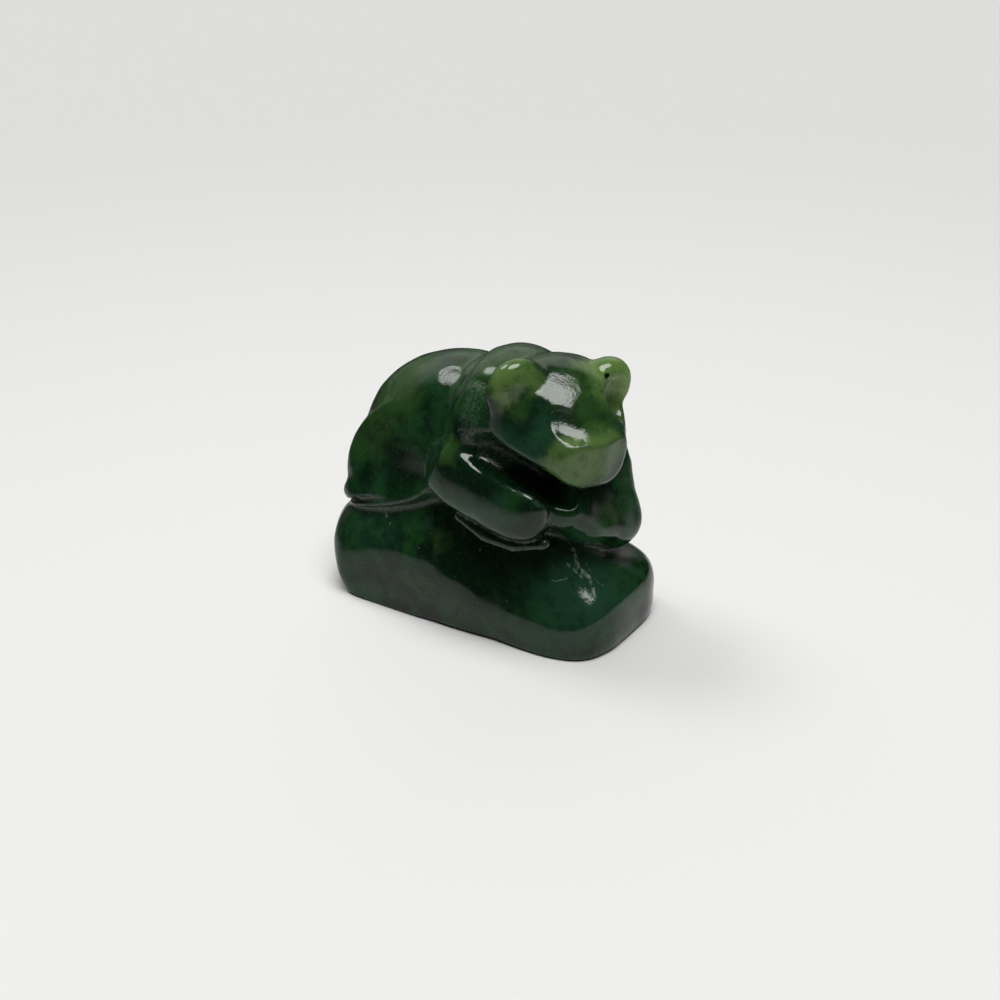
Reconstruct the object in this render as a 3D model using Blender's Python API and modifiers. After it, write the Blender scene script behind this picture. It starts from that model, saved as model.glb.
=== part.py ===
"""A bear resting its chin on folded forelegs, lying on a boulder, carved from one piece of green nephrite.

The carving is one solid. Its masses are laid up as a carver would see them, one blending into the next,
and its grooves, hollows and flats are cut from them. +X runs towards the head end, +Y is the bear's left.
"""

import math

import bmesh
import bpy
import numpy as np
from mathutils import Euler, Matrix, Vector

# Driving sizes, in metres
ROCK_LENGTH = 0.0550
ROCK_WIDTH = 0.0320
ROCK_HEIGHT = 0.0200
BEAR_LENGTH = 0.0520
BLANK_CUBE = 0.0006
CUT_CUBE = 0.00042
FACE_BUDGET = 9400
UNDERSIDE_TRIM = 0.00015

# The bear is laid out in fifty-seconds of its own length, which are millimetres at the size above
BEAR_UNIT = BEAR_LENGTH / 52
# The boulder is laid out in shares of its own sizes, so that 1 is half a length, half a width or a height
ROCK_SIZES = (ROCK_LENGTH / 2, ROCK_WIDTH / 2, ROCK_HEIGHT)

STONE_GREEN = (0.030, 0.110, 0.045, 1.0)
STONE_ROUGHNESS = 0.14


def turned(degrees):
    """The rotation of three angles about X, Y and Z, in degrees, as a 4 by 4 matrix."""
    return Euler([math.radians(angle) for angle in degrees]).to_matrix().to_4x4()


def moved(matrix, points):
    """Points taken through a 4 by 4 matrix."""
    table = np.array(matrix, dtype=float)
    return points @ table[:3, :3].T + table[:3, 3]


class Mass:
    """An ellipsoid, or a squarer mass where squareness is over 2."""

    def __init__(self, frame, centre, radii, turn=(0, 0, 0), squareness=2.0):
        self.place = frame @ Matrix.Translation(centre) @ turned(turn)
        self.radii = np.array(radii, dtype=float)
        self.squareness = squareness
        self.unit = self.place.to_scale()[0]
        self.inverse = self.place.inverted()

    def distance(self, points):
        local = np.abs(moved(self.inverse, points)) / self.radii
        power = self.squareness
        size = np.maximum((local**power).sum(1), 1e-12) ** (1 / power)
        slope = (local / size[:, None]) ** (power - 1) / self.radii
        return (size - 1) / np.linalg.norm(slope, axis=1) * self.unit

    def reach(self):
        centre = np.array(self.place.translation)
        spread = np.abs(np.array(self.place)[:3, :3]) @ self.radii
        return centre - spread, centre + spread


class Limb:
    """A round bar through points, with its own radius at each of them."""

    def __init__(self, frame, points, radii):
        self.unit = frame.to_scale()[0]
        self.points = [np.array(frame @ Vector(point)) for point in points]
        self.radii = [radius * self.unit for radius in radii]

    def spans(self):
        return zip(self.points, self.points[1:], self.radii, self.radii[1:])

    def distance(self, points):
        nearest = None
        for start, end, first, last in self.spans():
            along = end - start
            share = np.clip((points - start) @ along / (along @ along), 0, 1)
            gap = np.linalg.norm(points - start - share[:, None] * along, axis=1)
            gap -= first + share * (last - first)
            nearest = gap if nearest is None else np.minimum(nearest, gap)
        return nearest

    def reach(self):
        radii = np.array(self.radii)[:, None]
        return (np.array(self.points) - radii).min(0), (np.array(self.points) + radii).max(0)


class Flat:
    """The side of a plane that its normal points away from."""

    def __init__(self, frame, point, normal):
        self.point = np.array(frame @ Vector(point))
        self.normal = np.array((frame.to_3x3() @ Vector(normal)).normalized())

    def distance(self, points):
        return (points - self.point) @ self.normal


class Clump:
    """Masses that blend into one another, less what is cut from them, each with the width of its blend."""

    def __init__(self, unit, masses, cuts=(), flats=()):
        self.unit = unit
        self.masses = masses
        self.cuts = cuts
        self.flats = flats

    def distance(self, points):
        field = None
        for shape, blend in self.masses:
            gap = shape.distance(points)
            field = gap if field is None else blended(field, gap, blend * self.unit)
        for shape, blend in self.cuts:
            field = -blended(-field, shape.distance(points), blend * self.unit)
        for shape, blend in self.flats:
            field = -blended(-field, -shape.distance(points), blend * self.unit)
        return field

    def reach(self):
        ends = [shape.reach() for shape, _ in self.masses]
        return np.min([low for low, _ in ends], axis=0), np.max([high for _, high in ends], axis=0)


def blended(first, second, width):
    """The lesser of two distances, with the crease between them filled over about this width."""
    share = np.clip(0.5 + 0.5 * (second - first) / width, 0, 1)
    return second + share * (first - second) - width * share * (1 - share)


def boulder():
    """The rock: a long lobe under the haunches, a lower one under the chest, and the slope between."""
    frame = Matrix.Identity(4)
    half_length, half_width, height = ROCK_SIZES

    def place(x, y, z):
        return (x * half_length, y * half_width, z * height)

    masses = [
        (Mass(frame, place(-0.40, -0.09, 0.36), place(0.66, 1.0, 0.58), (0, -4, 13), 2.7), 1),
        (Mass(frame, place(0.40, 0.06, 0.21), place(0.555, 0.88, 0.40), (0, 0, 2), 3.4), 6),
        (Mass(frame, place(-0.11, -0.05, 0.48), place(0.60, 0.84, 0.66), (0, 0, 0), 2.3), 4),
        (Mass(frame, place(0.40, -0.10, 0.40), place(0.38, 0.66, 0.54), (0, 0, 0), 2.2), 3),
    ]
    valley = [place(0.345, -1.70, 0.95), place(0.575, -1.12, 0.98), place(0.82, -0.45, 1.05)]
    cuts = [(Limb(frame, valley, [0.34 * height, 0.32 * height, 0.24 * height]), 4)]
    flats = [
        (Flat(frame, place(0.545, -0.86, 0.15), (0.25, -0.88, 0.40)), 2.5),
        (Flat(frame, place(-0.545, -1.025, 0.45), (-0.094, -0.9, 0.40)), 2.0),
        (Flat(frame, place(-0.273, -0.953, 0.40), (0.07, -0.995, -0.04)), 0.8),
        (Flat(frame, (0, 0, -UNDERSIDE_TRIM), (0, 0, -1)), 0.8),
    ]
    return Clump(ROCK_LENGTH / 55, masses, cuts, flats)


def trunk(frame):
    """Rump, back and the high shoulders, with the groove that parts the shoulders from the back."""
    masses = [
        (Mass(frame, (-12.6, 0.5, 3.6), (14.6, 11.6, 18.8), (0, 20, 0), 2.0), 1),
        (Mass(frame, (-5.0, 0.5, 10), (11, 11.2, 13.0), (0, 5, 0), 2.1), 4),
        (Mass(frame, (3.8, -0.6, 14.0), (9.6, 11.8, 13.1), (0, 0, -6), 2.2), 1.5),
        (Mass(frame, (10.5, 2.5, 3.5), (8.6, 9.0, 10.5), (0, 0, 0), 2.2), 3),
    ]
    over_the_back = [(-2.6, 8, 24.6), (-2.2, 0, 26.2), (-1.4, -6, 25.0)]
    down_the_flank = [(-1.4, -10.4, 21.6), (-1.8, -12.8, 17), (-3.4, -14.0, 9)]
    groove = Limb(frame, over_the_back + down_the_flank, [0.1, 0.9, 1.1, 1.3, 1.6, 1.6])
    cuts = [(groove, 0.8)]
    return Clump(BEAR_UNIT, masses, cuts)


def haunch(frame, side):
    """A thigh with its foot drawn up beneath it. Side is -1 for the right leg and 1 for the left."""

    def place(x, y, z):
        return (x, side * y, z)

    masses = [
        (Mass(frame, place(-15.0, 7.4, 3.0), (10.0, 5.4, 12.0), (0, 30, 0), 2.2), 1),
        (Mass(frame, place(-15.2, 9.4, 0.6), (10.7, 4.6, 3.4), (0, -22, 0), 2.3), 1.2),
    ]
    slit = [place(-26, 9.5, -4.4), place(-20, 12.9, -2.4), place(-12, 14.2, 0.4), place(-4.5, 14.8, 5.0)]
    cuts = [(Limb(frame, slit, [0.7, 0.7, 0.7, 0.7]), 0.6)]
    side_of_thigh = Flat(frame, place(-14.0, 11.1, 9.0), (-0.05, side * 0.96, 0.27))
    return Clump(BEAR_UNIT, masses, cuts, [(side_of_thigh, 1.0)])


def right_foreleg(frame):
    """The near foreleg: a deep shoulder, the elbow, and the forearm folded across the chest."""
    under_the_paw = [(1.5, -12.4, 1.2), (6.5, -12.8, -0.5), (12, -12.2, -0.9), (16.5, -10.4, 0.0)]
    masses = [
        (Mass(frame, (2.4, -6.8, 12), (5.4, 7.2, 11.5), (0, 0, 0), 2.2), 1),
        (Mass(frame, (5.8, -10.8, 7.1), (12.0, 4.5, 6.0), (0, 12, 0), 3.0), 1.2),
        (Limb(frame, under_the_paw, [1.1, 1.1, 1.1, 0.9]), 0.5),
    ]
    flats = [(Flat(frame, (4.6, -15.2, 9.0), (0.10, -0.92, 0.38)), 0.8)]
    return Clump(BEAR_UNIT, masses, (), flats)


def left_foreleg(frame):
    """The far foreleg: its elbow hangs over the end of the rock and its paw lies under the chin."""
    masses = [
        (Limb(frame, [(12.5, 7, 12), (15.8, 6.6, 6), (18.5, 6.2, -1.4)], [6, 5.4, 4.6]), 1),
        (Limb(frame, [(18.5, 6.0, -1.6), (18.0, -1, 3.0), (17.0, -6, 5.4)], [4.6, 5.0, 4.1]), 2),
    ]
    flats = [(Flat(frame, (22.1, 3, 2.0), (0.93, 0.05, 0.30)), 0.8)]
    return Clump(BEAR_UNIT, masses, (), flats)


def head(frame):
    """The head, turned to the bear's right: skull, muzzle and ears."""
    neck = frame @ Matrix.Translation((12.3, -1.2, 18.8))
    face = neck @ turned((0, 0, -30)) @ turned((-5, 0, 0)) @ turned((0, 20, 0))
    brow_line = [(11.5, -9, 6.4), (11.4, -1, 7.6), (11.4, 7, 7.4)]
    under_the_cheek = [(14.4, -12.2, 3), (14.2, -11.2, -3), (12.5, -11.2, -9)]
    skull = [
        (Mass(face, (0, 0, 0), (9.4, 10.6, 8.5), (0, 0, 0), 2.2), 1),
        (Mass(face, (3.4, -5.6, -3.8), (6.5, 5.2, 5.2), (0, 0, 0), 2.0), 2.5),
        (Mass(face, (3.0, 5.6, -2.8), (6.4, 4.5, 6.1), (0, 0, 0), 2.0), 2.5),
        (Mass(face, (7.2, 0.8, -0.7), (6.9, 7.2, 5.7), (0, 0, 0), 2.8), 2.2),
    ]
    hollows = [
        (Limb(face, brow_line, [2.8, 3.2, 2.8]), 1.5),
        (Limb(face, under_the_cheek, [4.0, 4.0, 4.0]), 2.0),
    ]
    facets = [
        (Flat(frame, (15.4, -6.6, 24.7), (0.36, -0.45, 0.82)), 0.6),
        (Flat(frame, (24.3, -5.6, 14.6), (0.86, -0.50, -0.10)), 0.6),
        (Flat(frame, (24.3, -5.6, 14.6), (0.98, -0.10, -0.13)), 0.6),
    ]
    masses = [
        (Clump(BEAR_UNIT, skull, hollows, facets), 1),
        (Mass(face, (-0.8, -8.0, 4.8), (2.8, 4.9, 5.1), (0, -12, 0), 2.2), 1.0),
        (Mass(face, (0.4, -7.9, -0.2), (3.6, 3.9, 5.0), (0, 0, 0), 2.0), 1.6),
        (Mass(face, (-0.8, 8.0, 4.3), (3.0, 3.9, 4.4), (0, -12, 0), 2.2), 1.0),
    ]
    dishes = [
        (Mass(face, (7.0, -9.8, 6.4), (4.9, 4.5, 5.0), (0, -14, 0), 2.0), 1.5),
        (Mass(face, (4.3, 8.3, 5.4), (3.6, 3.6, 4.3), (0, -12, 0), 2.0), 1.0),
    ]
    jaw = Flat(frame, (14.0, -12.0, 15.0), (-0.20, -0.62, -0.75))
    return Clump(BEAR_UNIT, masses, dishes, [(jaw, 0.8)])


def carving():
    """The whole carving."""
    frame = Matrix.Translation((0, 0, ROCK_HEIGHT)) @ Matrix.Scale(BEAR_UNIT, 4)
    masses = [
        (boulder(), 1),
        (trunk(frame), 0.8),
        (haunch(frame, -1), 1.5),
        (haunch(frame, 1), 1.5),
        (right_foreleg(frame), 1.0),
        (left_foreleg(frame), 1.0),
    ]
    flank = [(-4.5, -14.2, 17), (-8.5, -17.2, 7.5), (-12, -17.6, 4)]
    recess = [(1.2, -15.2, 14.6), (6.0, -12.4, 14.2), (13.0, -10.5, 11.9), (20, -8.5, 9.2)]
    cuts = [
        (Limb(frame, flank, [4.6, 5.0, 4.4]), 1.2),
        (Limb(frame, recess, [0.7, 2.5, 3.0, 2.6]), 1.0),
    ]
    body = Clump(BEAR_UNIT, masses, cuts)
    return Clump(BEAR_UNIT, [(body, 1), (head(frame), 0.7)])


def pressed(shape, points, rounds=3):
    """Points moved along the slope of the distance until they lie on the shape's surface."""
    step = 1e-5
    longest_move = 0.0005
    gentlest_slope = 0.1
    for _ in range(rounds):
        slope = np.empty_like(points)
        for axis in range(3):
            offset = np.zeros(3)
            offset[axis] = step
            slope[:, axis] = shape.distance(points + offset) - shape.distance(points - offset)
        slope /= 2 * step
        steepness = np.maximum((slope**2).sum(1), gentlest_slope)
        travel = np.clip(shape.distance(points) / steepness, -longest_move, longest_move)
        points = points - slope * travel[:, None]
    return points


def cubes_cut(shape, step):
    """The centres of the small cubes that the shape's surface crosses, and the squares that join them."""
    low, high = shape.reach()
    sides = [np.arange(start - 2 * step, end + 3 * step, step) for start, end in zip(low, high)]
    inside = np.empty([len(side) for side in sides], dtype=bool)
    across, up = np.meshgrid(sides[1], sides[2], indexing="ij")
    for row, along in enumerate(sides[0]):
        points = np.stack([np.full(across.size, along), across.ravel(), up.ravel()], axis=1)
        inside[row] = (shape.distance(points) < 0).reshape(across.shape)
    corners = sum(
        inside[i : i - 1 or None, j : j - 1 or None, k : k - 1 or None].astype(np.int8)
        for i in (0, 1)
        for j in (0, 1)
        for k in (0, 1)
    )
    crossed = (corners > 0) & (corners < 8)
    number = np.cumsum(crossed).reshape(crossed.shape) - 1
    places = np.argwhere(crossed)
    centres = np.stack([side[places[:, axis]] + step / 2 for axis, side in enumerate(sides)], axis=1)
    squares = []
    for axis in range(3):
        turn = (axis, (axis + 1) % 3, (axis + 2) % 3)
        solid = inside.transpose(turn)
        cube = number.transpose(turn)
        for leaving in (True, False):
            edge = (solid[:-1] == leaving) & (solid[1:] != leaving)
            a, b, c = np.nonzero(edge)
            ring = [cube[a, b - 1, c - 1], cube[a, b, c - 1], cube[a, b, c], cube[a, b - 1, c]]
            squares.append(np.stack(ring if leaving else ring[::-1], axis=1))
    return centres, np.concatenate(squares)


def bake(obj):
    """The object's mesh as its modifiers leave it, with the modifiers gone."""
    graph = bpy.context.evaluated_depsgraph_get()
    mesh = bpy.data.meshes.new_from_object(obj.evaluated_get(graph))
    old = obj.data
    obj.modifiers.clear()
    obj.data = mesh
    bpy.data.meshes.remove(old)


def press_mesh(obj, shape):
    """The object's points moved onto the shape's surface."""
    mesh = obj.data
    points = np.empty(len(mesh.vertices) * 3, dtype=np.float32)
    mesh.vertices.foreach_get("co", points)
    points = pressed(shape, points.reshape(-1, 3).astype(float))
    mesh.vertices.foreach_set("co", points.astype(np.float32).ravel())
    mesh.update()


def carve(shape, name, collection):
    """The shape as one closed mesh object."""
    centres, squares = cubes_cut(shape, BLANK_CUBE)
    mesh = bpy.data.meshes.new(name)
    mesh.from_pydata(centres, [], squares.tolist())
    obj = bpy.data.objects.new(name, mesh)
    collection.objects.link(obj)
    press_mesh(obj, shape)
    modifier = obj.modifiers.new("even squares", "REMESH")
    modifier.mode = "VOXEL"
    modifier.voxel_size = CUT_CUBE
    bake(obj)
    press_mesh(obj, shape)
    return obj


def lighten(obj):
    """Fewer faces where the stone is plain."""
    modifier = obj.modifiers.new("fewer faces", "DECIMATE")
    modifier.ratio = min(1.0, FACE_BUDGET / (2 * len(obj.data.polygons)))
    modifier.use_collapse_triangulate = True
    bake(obj)


def stand(obj):
    """The underside ground off flat at the height of the floor."""
    work = bmesh.new()
    work.from_mesh(obj.data)
    everything = work.verts[:] + work.edges[:] + work.faces[:]
    floor = {"plane_co": (0, 0, 0), "plane_no": (0, 0, 1)}
    cut = bmesh.ops.bisect_plane(work, geom=everything, clear_inner=True, **floor)
    rim = [part for part in cut["geom_cut"] if isinstance(part, bmesh.types.BMEdge)]
    bmesh.ops.contextual_create(work, geom=rim)
    bmesh.ops.recalc_face_normals(work, faces=work.faces)
    work.to_mesh(obj.data)
    work.free()


def jade():
    """Polished dark green nephrite."""
    material = bpy.data.materials.new("nephrite")
    material.use_nodes = True
    shader = material.node_tree.nodes["Principled BSDF"]
    shader.inputs["Base Color"].default_value = STONE_GREEN
    shader.inputs["Roughness"].default_value = STONE_ROUGHNESS
    shader.inputs["Metallic"].default_value = 0.0
    return material


def main():
    for old in list(bpy.data.objects):
        bpy.data.objects.remove(old)
    collection = bpy.data.collections.new("jade bear carving")
    bpy.context.scene.collection.children.link(collection)
    bear = carve(carving(), "jade_bear_on_rock", collection)
    lighten(bear)
    stand(bear)
    bear.data.shade_smooth()
    bear.data.materials.append(jade())


main()
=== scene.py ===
"""The looks of a polished nephrite carving: a bear with its chin on folded forelegs, lying on a rock.

The form is worked out again from the carver's masses, on a finer mesh than the solid's, and takes
its size from the solid. Points and radii are in units, of which the carving is about 56 long.
+X runs to the head end, +Y to the bear's left.
"""

import math

import bpy
import numpy as np
from bpy.props import FloatProperty, FloatVectorProperty, PointerProperty
from mathutils import Euler, Matrix, Vector


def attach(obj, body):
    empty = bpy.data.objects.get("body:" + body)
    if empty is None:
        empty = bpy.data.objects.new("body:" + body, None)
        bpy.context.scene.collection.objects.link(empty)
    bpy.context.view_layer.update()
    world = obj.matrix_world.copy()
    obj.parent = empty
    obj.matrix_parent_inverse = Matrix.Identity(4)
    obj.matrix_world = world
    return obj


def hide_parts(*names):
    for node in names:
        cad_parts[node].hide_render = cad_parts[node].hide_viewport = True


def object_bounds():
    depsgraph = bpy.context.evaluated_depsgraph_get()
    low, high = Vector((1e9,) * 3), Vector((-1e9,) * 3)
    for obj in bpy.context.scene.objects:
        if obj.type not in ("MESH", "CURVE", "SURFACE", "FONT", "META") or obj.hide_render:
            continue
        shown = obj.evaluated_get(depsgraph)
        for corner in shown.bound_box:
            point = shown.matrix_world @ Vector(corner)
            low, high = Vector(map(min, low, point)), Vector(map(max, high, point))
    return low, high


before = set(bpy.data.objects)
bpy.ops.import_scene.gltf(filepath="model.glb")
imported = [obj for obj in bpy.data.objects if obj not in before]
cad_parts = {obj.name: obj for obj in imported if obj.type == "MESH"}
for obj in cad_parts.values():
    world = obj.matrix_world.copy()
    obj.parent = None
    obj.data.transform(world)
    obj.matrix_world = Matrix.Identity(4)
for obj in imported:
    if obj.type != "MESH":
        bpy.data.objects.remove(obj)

bl_info = {
    "name": "Jade Bear Carving",
    "version": (1, 0, 0),
    "blender": (4, 5, 0),
    "location": "View3D > Sidebar > Jade Bear",
    "description": "A polished nephrite carving of a bear on a rock, with a studio stage",
    "category": "Add Mesh",
}

NODE = "jade_bear_on_rock"
CAD_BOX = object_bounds()
SOLID_LENGTH = 55.927
UNIT = (CAD_BOX[1].x - CAD_BOX[0].x) / SOLID_LENGTH

# The rock's half length, half width and height, and the bear's feet at the rock's top, in units
ROCK_HALF_LENGTH = 27.5
ROCK_HALF_WIDTH = 16.0
ROCK_HEIGHT = 20.0


def turned(degrees):
    """The rotation of three angles about X, Y and Z, in degrees, as a 4 by 4 matrix."""
    return Euler([math.radians(angle) for angle in degrees]).to_matrix().to_4x4()


def moved(matrix, points):
    """Points taken through a 4 by 4 matrix."""
    table = np.array(matrix, dtype=float)
    return points @ table[:3, :3].T + table[:3, 3]


class Mass:
    """An ellipsoid, or a squarer mass where squareness is over 2."""

    def __init__(self, place, centre, radii, turn=(0, 0, 0), squareness=2.0):
        self.inverse = (place @ Matrix.Translation(centre) @ turned(turn)).inverted()
        self.radii = np.array(radii, dtype=float)
        self.squareness = squareness

    def distance(self, points):
        local = np.abs(moved(self.inverse, points)) / self.radii
        power = self.squareness
        size = np.maximum((local**power).sum(1), 1e-12) ** (1 / power)
        slope = (local / size[:, None]) ** (power - 1) / self.radii
        return (size - 1) / np.linalg.norm(slope, axis=1)


class Limb:
    """A round bar through points, with its own radius at each of them."""

    def __init__(self, place, points, radii):
        self.points = [np.array(place @ Vector(point)) for point in points]
        self.radii = radii

    def distance(self, points):
        nearest = None
        for start, end, first, last in zip(self.points, self.points[1:], self.radii, self.radii[1:]):
            along = end - start
            share = np.clip((points - start) @ along / (along @ along), 0, 1)
            gap = np.linalg.norm(points - start - share[:, None] * along, axis=1)
            gap -= first + share * (last - first)
            nearest = gap if nearest is None else np.minimum(nearest, gap)
        return nearest


class Flat:
    """The side of a plane that its normal points away from."""

    def __init__(self, place, point, normal):
        self.point = np.array(place @ Vector(point))
        self.normal = np.array((place.to_3x3() @ Vector(normal)).normalized())

    def distance(self, points):
        return (points - self.point) @ self.normal


class Clump:
    """Masses that blend into one another, less what is cut from them, each with the width of its blend."""

    def __init__(self, masses, cuts=(), flats=()):
        self.masses = masses
        self.cuts = cuts
        self.flats = flats

    def distance(self, points):
        field = None
        for shape, blend in self.masses:
            gap = shape.distance(points)
            field = gap if field is None else blended(field, gap, blend)
        for shape, blend in self.cuts:
            field = -blended(-field, shape.distance(points), blend)
        for shape, blend in self.flats:
            field = -blended(-field, -shape.distance(points), blend)
        return field


def blended(first, second, width):
    """The lesser of two distances, with the crease between them filled over about this width."""
    share = np.clip(0.5 + 0.5 * (second - first) / width, 0, 1)
    return second + share * (first - second) - width * share * (1 - share)


def boulder(place):
    """The rock: a long lobe under the haunches, a lower one under the chest, and the slope between."""

    def share(x, y, z):
        return (x * ROCK_HALF_LENGTH, y * ROCK_HALF_WIDTH, z * ROCK_HEIGHT)

    masses = [
        (Mass(place, share(-0.40, -0.09, 0.36), share(0.66, 1.0, 0.58), (0, -4, 13), 2.7), 1),
        (Mass(place, share(0.40, 0.06, 0.21), share(0.555, 0.88, 0.40), (0, 0, 2), 3.4), 6),
        (Mass(place, share(-0.11, -0.05, 0.48), share(0.60, 0.84, 0.66), (0, 0, 0), 2.3), 4),
        (Mass(place, share(0.40, -0.10, 0.40), share(0.38, 0.66, 0.54), (0, 0, 0), 2.2), 3),
    ]
    valley = [share(0.345, -1.70, 0.95), share(0.575, -1.12, 0.98), share(0.82, -0.45, 1.05)]
    cuts = [(Limb(place, valley, [6.8, 6.4, 4.8]), 4)]
    flats = [
        (Flat(place, share(0.545, -0.86, 0.15), (0.25, -0.88, 0.40)), 2.5),
        (Flat(place, share(-0.545, -1.025, 0.45), (-0.094, -0.9, 0.40)), 2.0),
        (Flat(place, share(-0.273, -0.953, 0.40), (0.07, -0.995, -0.04)), 0.8),
        (Flat(place, (0, 0, -0.15), (0, 0, -1)), 0.8),
    ]
    return Clump(masses, cuts, flats)


def trunk(place):
    """Rump, back and the high shoulders, with the groove that parts the shoulders from the back."""
    masses = [
        (Mass(place, (-12.6, 0.5, 3.6), (14.6, 11.6, 18.8), (0, 20, 0), 2.0), 1),
        (Mass(place, (-5.0, 0.5, 10), (11, 11.2, 13.0), (0, 5, 0), 2.1), 4),
        (Mass(place, (3.8, -0.6, 14.0), (9.6, 11.8, 13.1), (0, 0, -6), 2.2), 1.5),
        (Mass(place, (10.5, 2.5, 3.5), (8.6, 9.0, 10.5), (0, 0, 0), 2.2), 3),
    ]
    over_the_back = [(-2.6, 8, 24.6), (-2.2, 0, 26.2), (-1.4, -6, 25.0)]
    down_the_flank = [(-1.4, -10.4, 21.6), (-1.8, -12.8, 17), (-3.4, -14.0, 9)]
    groove = Limb(place, over_the_back + down_the_flank, [0.1, 0.9, 1.1, 1.3, 1.6, 1.6])
    above_the_back = Flat(place, (-5.6, -5.0, 21.6), (0.04, 0.51, -0.86))
    on_the_back = Mass(place, (-5.6, -6.1, 23.1), (2.7, 2.6, 2.8))
    rubbed_flat = Clump([(on_the_back, 1)], (), [(above_the_back, 0.3)])
    return Clump(masses, [(groove, 0.8), (rubbed_flat, 0.3)])


def haunch(place, side):
    """A thigh with its foot drawn up beneath it. Side is -1 for the right leg and 1 for the left."""

    def at(x, y, z):
        return (x, side * y, z)

    masses = [
        (Mass(place, at(-15.0, 7.4, 3.0), (10.0, 5.4, 12.0), (0, 30, 0), 2.2), 1),
        (Mass(place, at(-15.2, 9.4, 0.6), (10.7, 4.6, 3.4), (0, -22, 0), 2.3), 1.2),
    ]
    slit = [at(-26, 9.5, -4.4), at(-20, 12.9, -2.4), at(-12, 14.2, 0.4), at(-4.5, 14.8, 5.0)]
    sides = [
        (Flat(place, at(-14.0, 11.1, 9.0), (-0.05, side * 0.96, 0.27)), 1.0),
        (Flat(place, at(-15.0, 13.2, -0.7), (-0.05, side * 0.93, 0.36)), 0.4),
    ]
    return Clump(masses, [(Limb(place, slit, [0.7, 0.7, 0.7, 0.7]), 0.5)], sides)


def right_foreleg(place):
    """The near foreleg: a deep shoulder, the elbow, and the forearm folded across the chest."""
    under_the_paw = [(1.5, -12.4, 1.2), (6.5, -12.8, -0.5), (12, -12.2, -0.9), (16.5, -10.4, 0.0)]
    masses = [
        (Mass(place, (2.4, -6.8, 12), (5.4, 7.2, 11.5), (0, 0, 0), 2.2), 1),
        (Mass(place, (5.8, -10.8, 7.1), (12.0, 4.5, 6.0), (0, 12, 0), 3.0), 1.2),
        (Limb(place, under_the_paw, [1.1, 1.1, 1.1, 0.9]), 0.5),
    ]
    return Clump(masses, (), [(Flat(place, (4.6, -15.2, 9.0), (0.10, -0.92, 0.38)), 0.8)])


def left_foreleg(place):
    """The far foreleg: its elbow hangs over the end of the rock and its paw lies under the chin."""
    upper = [(12.5, 7, 12), (15.8, 6.6, 6), (18.5, 6.2, -1.4)]
    lower = [(18.5, 6.0, -1.9), (18.0, -1, 2.6), (17.0, -6, 5.3)]
    masses = [(Limb(place, upper, [6, 5.4, 4.6]), 1), (Limb(place, lower, [4.9, 5.5, 4.2]), 2)]
    return Clump(masses, (), [(Flat(place, (22.1, 3, 2.0), (0.93, 0.05, 0.30)), 0.6)])


def head(place):
    """The head, turned to the bear's right: skull, muzzle and ears."""
    neck = place @ Matrix.Translation((12.3, -1.2, 18.8))
    face = neck @ turned((0, 0, -30)) @ turned((-5, 0, 0)) @ turned((0, 20, 0))
    brow_line = [(11.5, -9, 6.4), (11.4, -1, 7.6), (11.4, 7, 7.4)]
    under_the_cheek = [(14.4, -12.2, 3), (14.2, -11.2, -3), (12.5, -11.2, -9)]
    skull = [
        (Mass(face, (0, 0, 0), (9.4, 10.6, 8.5), (0, 0, 0), 2.2), 1),
        (Mass(face, (3.4, -5.6, -3.8), (6.5, 5.2, 5.2), (0, 0, 0), 2.0), 2.5),
        (Mass(face, (3.0, 5.6, -2.8), (6.4, 4.5, 6.1), (0, 0, 0), 2.0), 2.5),
        (Mass(face, (7.2, 0.8, -0.7), (6.9, 7.2, 5.7), (0, 0, 0), 2.8), 2.2),
    ]
    hollows = [
        (Limb(face, brow_line, [2.8, 3.2, 2.8]), 1.5),
        (Limb(face, under_the_cheek, [4.0, 4.0, 4.0]), 2.0),
        (Mass(face, (9.9, -2.9, 6.45), (4.8, 2.6, 2.6), (21.5, 0, 45), 2.8), 0.4),
    ]
    facets = [
        (Flat(place, (15.4, -6.6, 24.7), (0.36, -0.45, 0.82)), 0.6),
        (Flat(place, (24.3, -5.6, 14.6), (0.86, -0.50, -0.10)), 0.5),
        (Flat(place, (24.3, -5.6, 14.6), (0.98, -0.10, -0.13)), 0.4),
    ]
    masses = [
        (Clump(skull, hollows, facets), 1),
        (Mass(face, (-0.8, -8.0, 4.8), (2.8, 4.9, 5.1), (0, -12, 0), 2.2), 1.0),
        (Mass(face, (0.4, -7.9, -0.2), (3.6, 3.9, 5.0), (0, 0, 0), 2.0), 1.6),
        (Mass(face, (-0.8, 8.0, 4.3), (3.0, 3.9, 4.4), (0, -12, 0), 2.2), 1.0),
    ]
    dishes = [
        (Mass(face, (7.0, -9.8, 6.4), (4.9, 4.5, 5.0), (0, -14, 0), 2.0), 1.5),
        (Mass(face, (4.3, 8.3, 5.4), (3.6, 3.6, 4.3), (0, -12, 0), 2.0), 0.8),
    ]
    jaw = Flat(place, (14.0, -12.0, 15.0), (-0.20, -0.62, -0.75))
    return Clump(masses, dishes, [(jaw, 0.8)])


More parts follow.
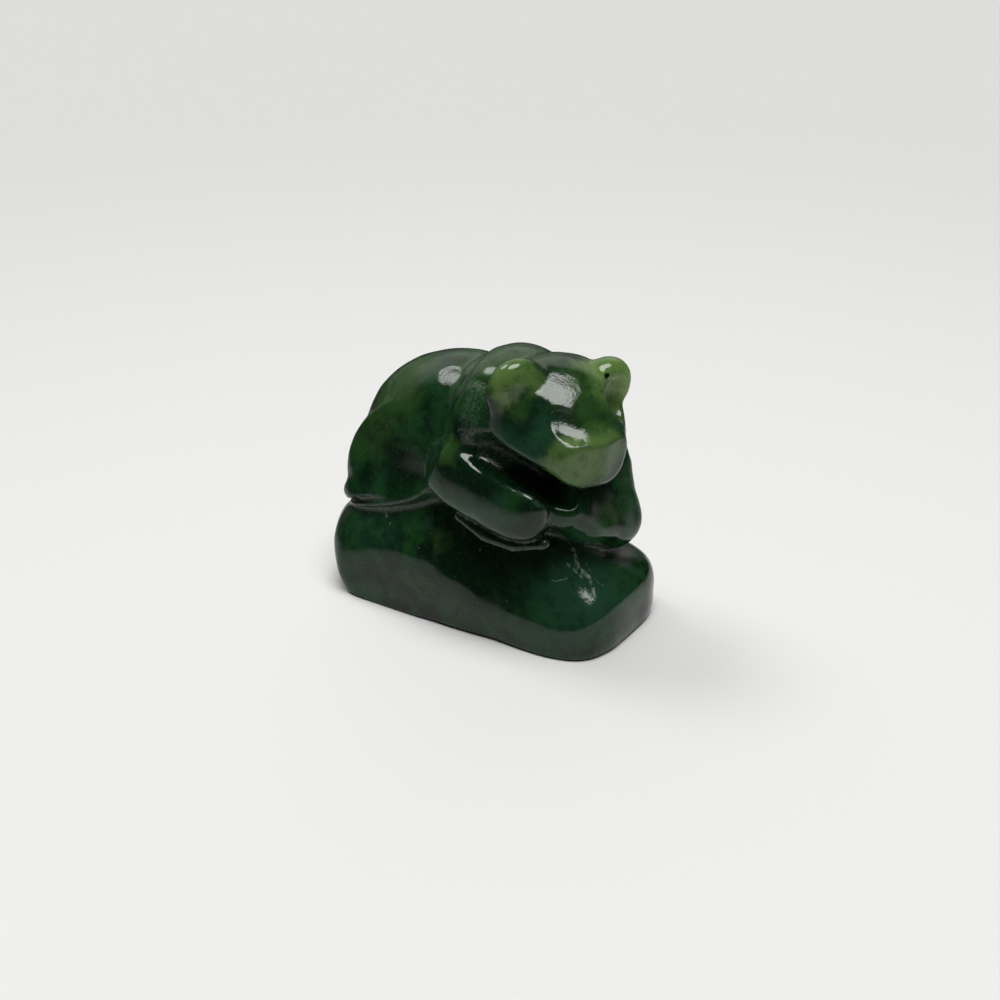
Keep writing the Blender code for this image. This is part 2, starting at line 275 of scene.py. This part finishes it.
def carving():
    """The whole carving, in units."""
    ground = Matrix.Identity(4)
    place = Matrix.Translation((0, 0, ROCK_HEIGHT))
    masses = [
        (boulder(ground), 0.8),
        (trunk(place), 0.8),
        (haunch(place, -1), 1.3),
        (haunch(place, 1), 1.3),
        (right_foreleg(place), 0.8),
        (left_foreleg(place), 0.8),
    ]
    flank = [(-4.5, -14.2, 17), (-8.5, -17.2, 7.5), (-12, -17.6, 4)]
    recess = [(1.2, -15.2, 14.6), (6.0, -12.4, 14.2), (13.0, -10.5, 11.9), (20, -8.5, 9.2)]
    cuts = [
        (Limb(place, flank, [4.6, 5.0, 4.4]), 1.2),
        (Limb(place, recess, [0.7, 2.5, 3.0, 2.6]), 1.8),
    ]
    return Clump([(Clump(masses, cuts), 1), (head(place), 0.5)])


def slope_of(shape, points, step=0.01):
    """The gradient of the shape's distance."""
    slope = np.empty_like(points)
    for axis in range(3):
        offset = np.zeros(3)
        offset[axis] = step
        slope[:, axis] = shape.distance(points + offset) - shape.distance(points - offset)
    return slope / (2 * step)


def pressed(shape, points, rounds=3, longest_move=0.5, gentlest_slope=0.1):
    """Points moved along the slope of the distance until they lie on the shape's surface."""
    for _ in range(rounds):
        slope = slope_of(shape, points)
        steepness = np.maximum((slope**2).sum(1), gentlest_slope)
        travel = np.clip(shape.distance(points) / steepness, -longest_move, longest_move)
        points = points - slope * travel[:, None]
    return points


def hollowness(shape, points, reach):
    """How far the surface bends inwards over this reach: 0 on a flat, up to about 1 in a sharp crease."""
    around = -6 * shape.distance(points)
    for axis in range(3):
        offset = np.zeros(3)
        offset[axis] = reach
        around += shape.distance(points + offset) + shape.distance(points - offset)
    return -around / reach


def ripple(points, length, seed, waves=7):
    """A smooth irregular unevenness, from -1 to 1, of waves about this long."""
    chance = np.random.default_rng(seed)
    total = np.zeros(len(points))
    for _ in range(waves):
        heading = chance.normal(size=3)
        heading *= 2 * math.pi / (length * np.linalg.norm(heading) * chance.uniform(0.7, 1.5))
        total += np.sin(points @ heading + chance.uniform(0, 2 * math.pi))
    return total / math.sqrt(waves)


class Wire:
    """One socket's value. A sum written on it adds the Math nodes that work the sum out."""

    def __init__(self, tree, socket):
        self.tree = tree
        self.socket = socket

    def node(self, kind, settings=None, inputs=None, output=0):
        """A new node, set up and then fed with values or wires, as the wire from one of its outputs."""
        made = self.tree.nodes.new(kind)
        for name, value in (settings or {}).items():
            setattr(made, name, value)
        for name, value in (inputs or {}).items():
            if isinstance(value, Wire):
                self.tree.links.new(value.socket, made.inputs[name])
            else:
                made.inputs[name].default_value = value
        return Wire(self.tree, made.outputs[output])

    def maths(self, operation, *values):
        """A Math node on these values, such as SQRT, as the wire from it."""
        return self.node("ShaderNodeMath", {"operation": operation}, dict(enumerate(values)))

    def __add__(self, other):
        return self.maths("ADD", self, other)

    __radd__ = __add__

    def __mul__(self, other):
        return self.maths("MULTIPLY", self, other)

    __rmul__ = __mul__

    def __sub__(self, other):
        return self.maths("SUBTRACT", self, other)

    def __rsub__(self, other):
        return self.maths("SUBTRACT", other, self)

    def __truediv__(self, other):
        return self.maths("DIVIDE", self, other)

    def rising(self, low, high):
        """0 up to low and 1 from high, with a smooth step between. It falls where low is the greater."""
        settings = {"interpolation_type": "SMOOTHSTEP"}
        return self.node("ShaderNodeMapRange", settings, {0: self, 1: low, 2: high, 3: 0.0, 4: 1.0})

    def tint(self, under, over):
        """One colour over another, with this wire as the share of the upper one."""
        return self.node("ShaderNodeMix", {"data_type": "RGBA"}, {0: self, 6: under, 7: over}, 2)


def rgba(colour):
    """A colour with full opacity."""
    return (*colour, 1.0)


def direction(azimuth, elevation):
    """The unit vector towards this azimuth, turned from +X to +Y, and elevation, in degrees."""
    level = math.cos(math.radians(elevation))
    turn = math.radians(azimuth)
    return (level * math.cos(turn), level * math.sin(turn), math.sin(math.radians(elevation)))


class JadeBearCarving(bpy.types.PropertyGroup):
    """Sizes and colours of the stone."""

    cube: FloatProperty(
        name="Cube", description="Side of the mesh's squares",
        default=0.35 * UNIT, min=0.0001, unit="LENGTH",
    )
    unevenness: FloatProperty(
        name="Unevenness", description="Depth of the hand polish's waves",
        default=0.045 * UNIT, unit="LENGTH",
    )
    waviness: FloatProperty(
        name="Waviness", description="Height of the waves along the forearm's ridge",
        default=0.10 * UNIT, unit="LENGTH",
    )
    chatter: FloatProperty(
        name="Chatter", description="Depth of the burr's marks in the creases",
        default=0.05 * UNIT, unit="LENGTH",
    )
    roughness: FloatProperty(
        name="Roughness", description="Roughness of the polished stone",
        default=0.09, min=0, max=1, subtype="FACTOR",
    )
    # Deep green is also the colour of the painted shade in the creases, the recess and under the forelegs
    deep: FloatVectorProperty(
        name="Deep green", description="Darkest stone",
        default=(0.0022, 0.0115, 0.0042), subtype="COLOR", size=3,
    )
    leaf: FloatVectorProperty(
        name="Leaf green", description="Most of the stone",
        default=(0.0085, 0.0420, 0.0110), subtype="COLOR", size=3,
    )
    teal: FloatVectorProperty(
        name="Blue green", description="Cool clouds",
        default=(0.0120, 0.0470, 0.0230), subtype="COLOR", size=3,
    )
    moss: FloatVectorProperty(
        name="Moss green", description="Warm clouds",
        default=(0.0250, 0.0640, 0.0130), subtype="COLOR", size=3,
    )
    lime: FloatVectorProperty(
        name="Yellow green", description="Ears and muzzle",
        default=(0.0950, 0.1700, 0.0430), subtype="COLOR", size=3,
    )
    pale: FloatVectorProperty(
        name="Pale green", description="Hollow of the far ear",
        default=(0.200, 0.340, 0.090), subtype="COLOR", size=3,
    )
    dust: FloatVectorProperty(
        name="Burred stone", description="Unpolished marks",
        default=(0.050, 0.082, 0.055), subtype="COLOR", size=3,
    )
    spot: FloatVectorProperty(
        name="Inclusion", description="Black mineral specks",
        default=(0.004, 0.006, 0.004), subtype="COLOR", size=3,
    )
    bruise: FloatVectorProperty(
        name="Bruise", description="Scratches and pits",
        default=(0.16, 0.20, 0.17), subtype="COLOR", size=3,
    )


class JadeBearStage(bpy.types.PropertyGroup):
    """Sizes of the floor, the lights and the camera."""

    floor_size: FloatProperty(
        name="Floor", description="Width of the pale floor", default=8.0, min=0.5, unit="LENGTH"
    )
    floor_colour: FloatVectorProperty(
        name="Floor colour", description="Colour of the floor",
        default=(0.628, 0.628, 0.619), subtype="COLOR", size=3,
    )
    overhead_glow: FloatProperty(
        name="Overhead glow", description="Brightness of the soft lamp overhead",
        default=11.0, min=0,
    )
    backdrop_glow: FloatProperty(
        name="Backdrop glow", description="Brightness of the pale backdrop behind",
        default=0.95, min=0,
    )
    camera_distance: FloatProperty(
        name="Camera distance", description="From the camera to the carving",
        default=0.280, unit="LENGTH",
    )
    camera_lens: FloatProperty(
        name="Lens", description="Focal length in millimetres, on a 36 mm film",
        default=60.0, min=10,
    )


# Tone, centre, radius and share of each cloud in the stone; the deep patches in the recess under the head,
# under the forelegs and in the flank hollow are painted shade
CLOUDS_AND_PAINTED_SHADE = (
    ("teal", (-16.0, -15.0, 14.0), 6.0, 0.30),
    ("moss", (-17.0, -4.5, 38.0), 7.0, 0.80),
    ("moss", (-20.0, -10.0, 30.0), 5.0, 0.45),
    ("moss", (2.0, -2.0, 48.0), 9.0, 0.75),
    ("moss", (18.0, -2.0, 43.0), 5.5, 0.60),
    ("teal", (14.5, -11.5, 38.0), 4.8, 0.90),
    ("deep", (12.5, -11.2, 40.4), 2.4, 0.80),
    ("lime", (10.6, -10.8, 46.2), 3.9, 0.90),
    ("leaf", (11.7, -9.8, 43.2), 1.9, 0.80),
    ("lime", (18.8, 5.0, 43.5), 5.8, 1.00),
    ("lime", (22.2, -9.5, 35.2), 4.6, 0.85),
    ("lime", (24.0, -4.5, 36.5), 3.6, 0.50),
    ("moss", (-0.5, -14.0, 33.6), 2.4, 0.80),
    ("teal", (8.0, -15.0, 25.0), 5.0, 0.90),
    ("deep", (7.0, -14.5, 30.5), 4.2, 1.00),
    ("moss", (22.5, 0.0, 22.0), 3.6, 0.50),
    ("teal", (20.5, -7.0, 11.0), 8.0, 0.90),
    # Painted shade: dark patches under the near forearm and paw, and in the recess between the head and
    # the forearm
    ("deep", (5.0, -12.5, 13.0), 7.0, 1.00),
    ("deep", (14.0, -10.5, 20.0), 6.0, 1.00),
    ("deep", (13.0, -9.5, 30.0), 4.5, 1.00),
    ("deep", (6.5, -10.0, 34.0), 2.8, 0.90),
    # Painted shade in the flank hollow above the near foot
    ("deep", (-11.0, -12.0, 24.0), 4.0, 0.80),
    ("moss", (-2.6, -13.2, 15.6), 1.6, 0.45),
    ("pale", (20.2, 5.6, 42.4), 2.8, 0.90),
    # Painted shade under the far foreleg, where the floor's reflection was too pale
    ("deep", (22.4, 1.0, 18.6), 3.0, 0.90),
)
# Start, end, width and strength of each scratch or bruise
SCRATCHES = (
    ((17.7, -3.8, 16.3), (19.6, -5.0, 13.9), 0.55, 0.9),
    ((19.6, -5.0, 13.9), (21.1, -4.2, 12.6), 0.60, 1.0),
    ((21.1, -4.2, 12.6), (22.2, -4.5, 11.6), 0.50, 1.0),
    ((22.2, -4.6, 11.5), (23.6, -6.2, 10.2), 0.42, 1.0),
    ((18.2, -6.0, 14.8), (20.6, -5.4, 12.9), 0.34, 0.7),
    ((17.4, -8.4, 12.4), (18.8, -7.2, 12.9), 0.20, 0.6),
    ((19.8, -3.2, 14.2), (22.6, -3.4, 11.4), 0.16, 0.7),
    ((-14.4, -12.9, 17.2), (-14.0, -12.9, 16.4), 0.45, 0.5),
)
# Start, end and width of the stretches that the burr left unpolished
CHATTER = (
    ((3.0, -10.3, 43.0), (3.0, -12.2, 37.0), 3.4),
    ((3.4, -12.3, 37.0), (8.0, -9.8, 32.4), 2.4),
)
# Centre and radius of each facet that was left with a satin finish
SATIN = (
    ((15.5, -6.5, 44.7), 4.4),
    ((22.4, -6.6, 10.8), 3.0),
    ((20.0, -8.0, 39.6), 3.6),
    ((-5.6, -5.0, 41.6), 3.0),
)
# Centre and radius of the black inclusion by the far ear
INCLUSION = ((18.8, 3.1, 44.8), 0.55)
# Size, detail, roughness, distortion and offset of each noise
NOISES = {
    "ground": (6.0, 5.0, 0.62, 0.4, 0.0),
    "cool clouds": (3.4, 5.0, 0.60, 0.5, 0.31),
    "dark clouds": (2.2, 5.0, 0.65, 0.3, 0.47),
    "warm flecks": (0.9, 4.0, 0.60, 0.3, 0.70),
    "broken strokes": (0.8, 4.0, 0.65, 0.0, 0.90),
    "specks": (0.55, 1.0, 0.50, 0.0, 0.15),
    "worn edges": (1.3, 3.0, 0.60, 0.0, 0.61),
    "grit": (0.45, 3.0, 0.70, 0.0, 0.11),
    "uneven gloss": (3.0, 2.0, 0.55, 0.0, 0.0),
    "polish": (0.9, 3.0, 0.60, 0.0, 0.23),
    "fine grain": (0.33, 2.0, 0.60, 0.0, 0.50),
}
# Size and length of the push that makes the edges of the clouds ragged
RAGGED_SIZE = 3.2
RAGGED_PUSH = 6.0


def zone(here, centre, radius, softness=0.5):
    """1 inside a ball of stone about this point, falling to 0 outside it."""
    middle = [UNIT * part for part in centre]
    gap = here.node("ShaderNodeVectorMath", {"operation": "DISTANCE"}, {0: here, 1: middle}, 1)
    return (gap / (UNIT * radius)).rising(1 + softness, 1 - softness)


def streak(here, start, end, width):
    """1 along the line between two points, falling to 0 at its width on either side."""
    start = Vector(start) * UNIT
    along = Vector(end) * UNIT - start
    ahead = here.node("ShaderNodeVectorMath", {"operation": "SUBTRACT"}, {0: here, 1: start})
    reach = here.node("ShaderNodeVectorMath", {"operation": "DOT_PRODUCT"}, {0: ahead, 1: along}, 1)
    share = here.node("ShaderNodeClamp", {}, {0: reach / along.length_squared})
    foot = here.node("ShaderNodeVectorMath", {"operation": "SCALE"}, {0: along, 3: share})
    gap = here.node("ShaderNodeVectorMath", {"operation": "DISTANCE"}, {0: ahead, 1: foot}, 1)
    return (gap / (UNIT * width)).rising(1.0, 0.3)


def noise(here, name):
    """The named noise at this place in the stone, from 0 to 1."""
    size, detail, roughness, distortion, offset = NOISES[name]
    inputs = {
        "Vector": here.node("ShaderNodeVectorMath", {"operation": "ADD"}, {0: here, 1: [offset] * 3}),
        "Scale": 1 / (UNIT * size),
        "Detail": detail,
        "Roughness": roughness,
        "Distortion": distortion,
    }
    return here.node("ShaderNodeTexNoise", {}, inputs)


def ragged(here):
    """Coordinates pushed about, so that what is drawn on them has a ragged edge."""
    inputs = {"Vector": here, "Scale": 1 / (UNIT * RAGGED_SIZE), "Detail": 4.0}
    push = here.node("ShaderNodeTexNoise", {}, inputs, 1)
    push = here.node("ShaderNodeVectorMath", {"operation": "SUBTRACT"}, {0: push, 1: [0.5] * 3})
    push = here.node("ShaderNodeVectorMath", {"operation": "SCALE"}, {0: push, 3: RAGGED_PUSH * UNIT})
    return here.node("ShaderNodeVectorMath", {"operation": "ADD"}, {0: here, 1: push})


def clouded_green(here, stone):
    """The colour of the sound stone, with its clouds, and with painted shade in the recesses and under the
    forelegs.
    """
    colour = noise(here, "ground").rising(0.38, 0.62).tint(rgba(stone.deep), rgba(stone.leaf))
    cool = noise(here, "cool clouds").rising(0.50, 0.70) * 0.5
    colour = cool.tint(colour, rgba(stone.teal))
    bent = ragged(here)
    for tone, centre, radius, share in CLOUDS_AND_PAINTED_SHADE:
        colour = (zone(bent, centre, radius) * share).tint(colour, rgba(getattr(stone, tone)))
    dark = noise(here, "dark clouds").rising(0.50, 0.68) * 0.5
    colour = dark.tint(colour, rgba(stone.deep))
    warm = noise(here, "warm flecks").rising(0.56, 0.74) * 0.22
    return warm.tint(colour, rgba(stone.moss))


def bruises(here):
    """The share of white in the stone's scratches, bruises and specks."""
    worn = 0.0
    for start, end, width, share in SCRATCHES:
        worn = streak(here, start, end, width) * share + worn
    worn = worn * noise(here, "broken strokes").rising(0.42, 0.56)
    return worn + noise(here, "specks").rising(0.75, 0.79) * 0.4


def nephrite(stone):
    """Polished green nephrite: clouded, paler at the ears and muzzle, left rough in the creases, and with
    painted shade darkening the creases.
    """
    material = bpy.data.materials.new("nephrite")
    material.use_nodes = True
    tree = material.node_tree
    shader = tree.nodes["Principled BSDF"]
    coordinates = tree.nodes.new("ShaderNodeTexCoord")
    here = Wire(tree, coordinates.outputs["Object"])

    colour = bruises(here).tint(clouded_green(here, stone), rgba(stone.bruise))
    colour = zone(here, *INCLUSION, 0.3).tint(colour, rgba(stone.spot))
    crease = here.node("ShaderNodeAttribute", {"attribute_name": "crease"}, {}, 2)
    # Painted shade: the creases darkened towards deep green
    colour = (crease.rising(0.15, 0.8) * 0.8).tint(colour, rgba(stone.deep))
    edge = (0 - crease).rising(0.45, 0.85) * noise(here, "worn edges").rising(0.36, 0.60)
    colour = (edge * 0.45).tint(colour, rgba(stone.dust))
    grit = noise(here, "grit")
    burred = 0.0
    for start, end, width in CHATTER:
        burred = streak(here, start, end, width) + burred
    rough_stone = (crease * 1.2 + burred * (grit * 1.6 - 0.1)).rising(0.15, 0.9)
    colour = (rough_stone * grit.rising(0.45, 0.62) * 0.75).tint(colour, rgba(stone.dust))
    tree.links.new(colour.socket, shader.inputs["Base Color"])

    satin = 0.0
    for centre, radius in SATIN:
        satin = zone(here, centre, radius, 0.3) + satin
    uneven_gloss = noise(here, "uneven gloss").rising(0.4, 0.7) * 0.03
    roughness = stone.roughness + rough_stone * 0.22 + uneven_gloss + satin * 0.05
    tree.links.new(roughness.socket, shader.inputs["Roughness"])

    height = grit * rough_stone + noise(here, "polish") * (satin * 0.9 + 0.22)
    height = height + noise(here, "fine grain") * (satin * 0.25 + 0.05)
    inputs = {"Strength": 1.0, "Distance": 0.06 * UNIT, "Height": height}
    bump = here.node("ShaderNodeBump", {}, inputs)
    tree.links.new(bump.socket, shader.inputs["Normal"])

    shader.inputs["IOR"].default_value = 1.42
    shader.inputs["Metallic"].default_value = 0.0
    shader.inputs["Subsurface Weight"].default_value = 0.25
    shader.inputs["Subsurface Radius"].default_value = (0.35, 1.0, 0.35)
    shader.inputs["Subsurface Scale"].default_value = 1.2 * UNIT
    return material


# The ends of the wavy ridge along the top of the near forearm, its width and the length of its waves
FOREARM_RIDGE = ((0.9, -13.5, 33.8), (12.8, -13.8, 30.1))
RIDGE_WIDTH = 1.3
RIDGE_WAVES = 3.2
# Length of the long and the short waves that the polish left, and of the burr's marks
LONG_WAVES = 7.0
SHORT_WAVES = 4.0
BURR_WAVES = 0.9
# The reach over which a crease is measured, and the height by which the underside's rim is even
CREASE_REACH = 0.7
RIM_HEIGHT = 1.5


def relief(points, crease, stone):
    """How far the polish, the burr and the waves of the ridge lift the surface, in units."""
    polish = ripple(points, LONG_WAVES, 3) + 0.6 * ripple(points, SHORT_WAVES, 5)
    burr = np.clip(crease, 0, 1) * ripple(points, BURR_WAVES, 8, waves=12)
    off = Limb(Matrix.Identity(4), FOREARM_RIDGE, (0, 0)).distance(points)
    ridge = np.exp(-((off / RIDGE_WIDTH) ** 2)) * ripple(points, RIDGE_WAVES, 11)
    lift = polish * stone.unevenness + burr * stone.chatter + ridge * stone.waviness
    return lift / UNIT * np.clip(points[:, 2] / RIM_HEIGHT, 0, 1)


class CarveStone(bpy.types.Operator):
    """Carve the bear and its rock from one block, polished"""

    bl_idname = "jade_bear.carve_stone"
    bl_label = "Carve the stone"

    def execute(self, context):
        stone = context.scene.jade_bear_carving
        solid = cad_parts[NODE]
        piece = bpy.data.objects.new("jade_bear_polished", solid.data.copy())
        context.scene.collection.objects.link(piece)
        modifier = piece.modifiers.new("even squares", "REMESH")
        modifier.mode = "VOXEL"
        modifier.voxel_size = stone.cube
        mesh = bpy.data.meshes.new_from_object(piece.evaluated_get(context.evaluated_depsgraph_get()))
        piece.modifiers.clear()
        piece.data = mesh

        flat = np.empty(len(mesh.vertices) * 3, dtype=np.float32)
        mesh.vertices.foreach_get("co", flat)
        shape = carving()
        points = pressed(shape, flat.reshape(-1, 3).astype(float) / UNIT)
        crease = hollowness(shape, points, CREASE_REACH)
        slope = slope_of(shape, points)
        slope /= np.linalg.norm(slope, axis=1)[:, None]
        points += slope * relief(points, crease, stone)[:, None]
        points[:, 2] = np.maximum(points[:, 2], 0)
        mesh.vertices.foreach_set("co", (points * UNIT).astype(np.float32).ravel())
        drawn = mesh.attributes.new("crease", "FLOAT", "POINT")
        drawn.data.foreach_set("value", crease.astype(np.float32))
        mesh.materials.clear()
        mesh.materials.append(nephrite(stone))
        mesh.shade_smooth()
        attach(piece, "root")
        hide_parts(NODE)
        return {"FINISHED"}


# Painted pool of light on the floor: the brightest place on the floor, the distances over which it falls,
# and what is left at the far one
FLOOR_MIDDLE = (0.04, -0.07, 0)
FLOOR_FALL = (0.06, 0.40)
FLOOR_EDGE = 0.84
# Painted reflection: the same for the floor as the polish mirrors it, made dark far off to stand for the
# dark room beyond it
MIRRORED_MIDDLE = (0.045, -0.01, 0)
MIRRORED_FALL = (0.02, 0.19)
MIRRORED_EDGE = (0.02, 0.02, 0.02)
# Azimuth, elevation, inner and outer angle, and share of the overhead glow of each soft lamp
LAMPS = (
    (-25, 79, 13, 21, 1.0),
    (184, 55, 8, 14, 0.7),
)
# Where the pale backdrop stands, the light of the dark room, and how bright the camera sees the backdrop
BACKDROP_AZIMUTH = 140
ROOM_LIGHT = 0.025
SEEN_BACKDROP = 0.74
# The point that the camera looks at, and its direction from that point
CAMERA_TARGET = (0.001, -0.001, 0.019)
CAMERA_AZIMUTH = -54
CAMERA_ELEVATION = 28
FILM_WIDTH = 36


class SetStage(bpy.types.Operator):
    """Lay the pale floor and set the soft light and the camera"""

    bl_idname = "jade_bear.set_stage"
    bl_label = "Set the stage"

    def execute(self, context):
        stage = context.scene.jade_bear_stage
        self.lay_floor(context, stage)
        self.hang_lights(context, stage)
        self.set_camera(context, stage)
        return {"FINISHED"}

    def lay_floor(self, context, stage):
        bpy.ops.mesh.primitive_plane_add(size=stage.floor_size, location=(0, 0, 0))
        floor = context.object
        floor.name = "floor"
        material = bpy.data.materials.new("pale floor")
        material.use_nodes = True
        shader = material.node_tree.nodes["Principled BSDF"]
        coordinates = material.node_tree.nodes.new("ShaderNodeTexCoord")
        here = Wire(material.node_tree, coordinates.outputs["Object"])
        # Painted pool of light: the floor's colour is brightest near the carving and darker farther off
        inputs = {0: here, 1: FLOOR_MIDDLE}
        far = here.node("ShaderNodeVectorMath", {"operation": "DISTANCE"}, inputs, 1)
        edge = FLOOR_EDGE * Vector(stage.floor_colour)
        colour = far.rising(*FLOOR_FALL).tint(rgba(stage.floor_colour), rgba(edge))
        # Painted reflection: in glossy rays the floor turns dark far off
        mirrored = here.node("ShaderNodeLightPath", {}, {}, "Is Glossy Ray")
        inputs = {0: here, 1: MIRRORED_MIDDLE}
        away = here.node("ShaderNodeVectorMath", {"operation": "DISTANCE"}, inputs, 1)
        colour = (mirrored * away.rising(*MIRRORED_FALL)).tint(colour, rgba(MIRRORED_EDGE))
        material.node_tree.links.new(colour.socket, shader.inputs["Base Color"])
        shader.inputs["Roughness"].default_value = 0.9
        shader.inputs["Specular IOR Level"].default_value = 0.1
        floor.data.materials.append(material)

    def hang_lights(self, context, stage):
        world = bpy.data.worlds.new("studio")
        world.use_nodes = True
        context.scene.world = world
        tree = world.node_tree
        coordinates = tree.nodes.new("ShaderNodeTexCoord")
        way = Wire(tree, coordinates.outputs["Generated"])

        def towards(azimuth, elevation):
            """The cosine of the angle between a ray and this direction."""
            inputs = {0: way, 1: direction(azimuth, elevation)}
            return way.node("ShaderNodeVectorMath", {"operation": "DOT_PRODUCT"}, inputs, 1)

        def patch(azimuth, elevation, inner, outer):
            """1 within the inner angle of this direction, falling to 0 at the outer one, in degrees."""
            least, most = (math.cos(math.radians(angle)) for angle in (outer, inner))
            return towards(azimuth, elevation).rising(least, most)

        up = towards(0, 90)
        beside = towards(BACKDROP_AZIMUTH, 0) / way.maths("SQRT", 1.0001 - up * up)
        backdrop = beside.rising(0.45, 0.85) * up.rising(0.92, 0.7) * (up.rising(0.15, 0.55) * 0.82 + 0.18)
        light = backdrop * stage.backdrop_glow + ROOM_LIGHT
        for azimuth, elevation, inner, outer, share in LAMPS:
            light = patch(azimuth, elevation, inner, outer) * (stage.overhead_glow * share) + light
        seen = way.node("ShaderNodeLightPath", {}, {}, "Is Camera Ray")
        light = seen * SEEN_BACKDROP + (1 - seen) * light
        background = tree.nodes["Background"]
        tree.links.new(light.socket, background.inputs["Color"])
        context.scene.view_settings.view_transform = "Standard"

    def set_camera(self, context, stage):
        back = Vector(direction(CAMERA_AZIMUTH, CAMERA_ELEVATION))
        data = bpy.data.cameras.new("camera")
        data.lens = stage.camera_lens
        data.sensor_width = FILM_WIDTH
        data.clip_start = 0.01
        data.clip_end = 50
        camera = bpy.data.objects.new("camera", data)
        camera.location = Vector(CAMERA_TARGET) + back * stage.camera_distance
        camera.rotation_euler = (-back).to_track_quat("-Z", "Y").to_euler()
        context.scene.collection.objects.link(camera)
        context.scene.camera = camera


class JadeBearPanel(bpy.types.Panel):
    """The carving's sizes and colours, and the buttons that make it"""

    bl_idname = "VIEW3D_PT_jade_bear"
    bl_label = "Jade Bear"
    bl_space_type = "VIEW_3D"
    bl_region_type = "UI"
    bl_category = "Jade Bear"

    def draw(self, context):
        for group, button in (
            (context.scene.jade_bear_carving, CarveStone),
            (context.scene.jade_bear_stage, SetStage),
        ):
            box = self.layout.box()
            for name in group.__annotations__:
                box.prop(group, name)
            box.operator(button.bl_idname)


CLASSES = (JadeBearCarving, JadeBearStage, CarveStone, SetStage, JadeBearPanel)


def register():
    for cls in CLASSES:
        bpy.utils.register_class(cls)
    bpy.types.Scene.jade_bear_carving = PointerProperty(type=JadeBearCarving)
    bpy.types.Scene.jade_bear_stage = PointerProperty(type=JadeBearStage)


def unregister():
    del bpy.types.Scene.jade_bear_stage
    del bpy.types.Scene.jade_bear_carving
    for cls in reversed(CLASSES):
        bpy.utils.unregister_class(cls)


def main():
    register()
    bpy.ops.jade_bear.carve_stone()
    bpy.ops.jade_bear.set_stage()


if __name__ == "__main__":
    main()
